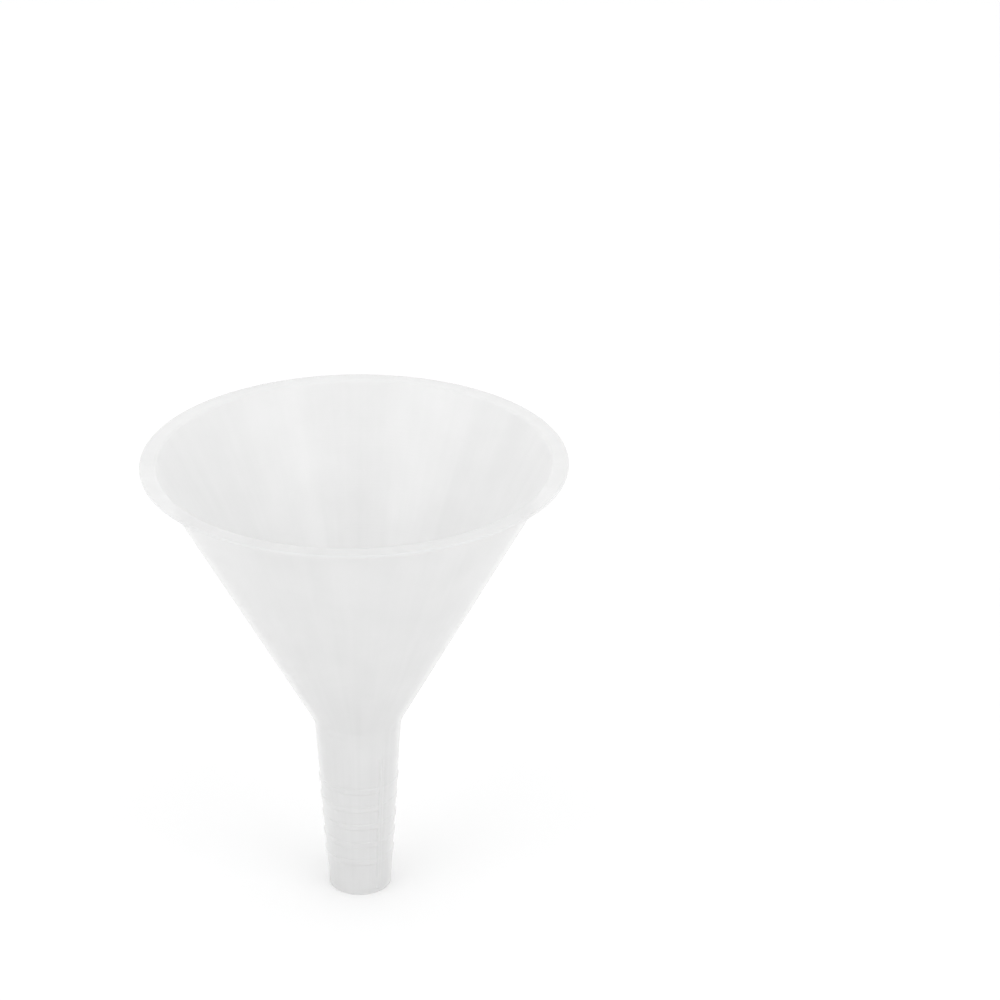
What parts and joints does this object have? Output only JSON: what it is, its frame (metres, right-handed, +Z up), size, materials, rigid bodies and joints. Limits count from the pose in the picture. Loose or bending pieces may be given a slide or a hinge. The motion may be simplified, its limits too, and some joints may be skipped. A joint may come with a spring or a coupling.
{
  "type": "kitchen funnel",
  "caption": "Translucent polypropylene funnel with a flat rim, a conical bowl and a narrow tapered stem with raised rings, for filling jars and bottles.",
  "frame": {"origin": "centre of the square-cut outlet at the bottom of the stem", "axes": "+Z up the funnel's axis, from the outlet to the mouth; the bowl opens upwards. -Y is the side seen from the front, and one of the two air ribs is 34 degrees round from it towards +X"},
  "size_m": [0.105, 0.105, 0.1185],
  "materials": {
    "natural_polypropylene": "uncoloured translucent polypropylene, satin from the mould"
  },
  "bodies": {
    "root": {"rim_flange": "natural_polypropylene", "bowl": "natural_polypropylene", "throat": "natural_polypropylene", "upper_stem": "natural_polypropylene", "ringed_stem": "natural_polypropylene", "outlet_tip": "natural_polypropylene", "air_ribs": "natural_polypropylene"}
  },
  "joints": []
}
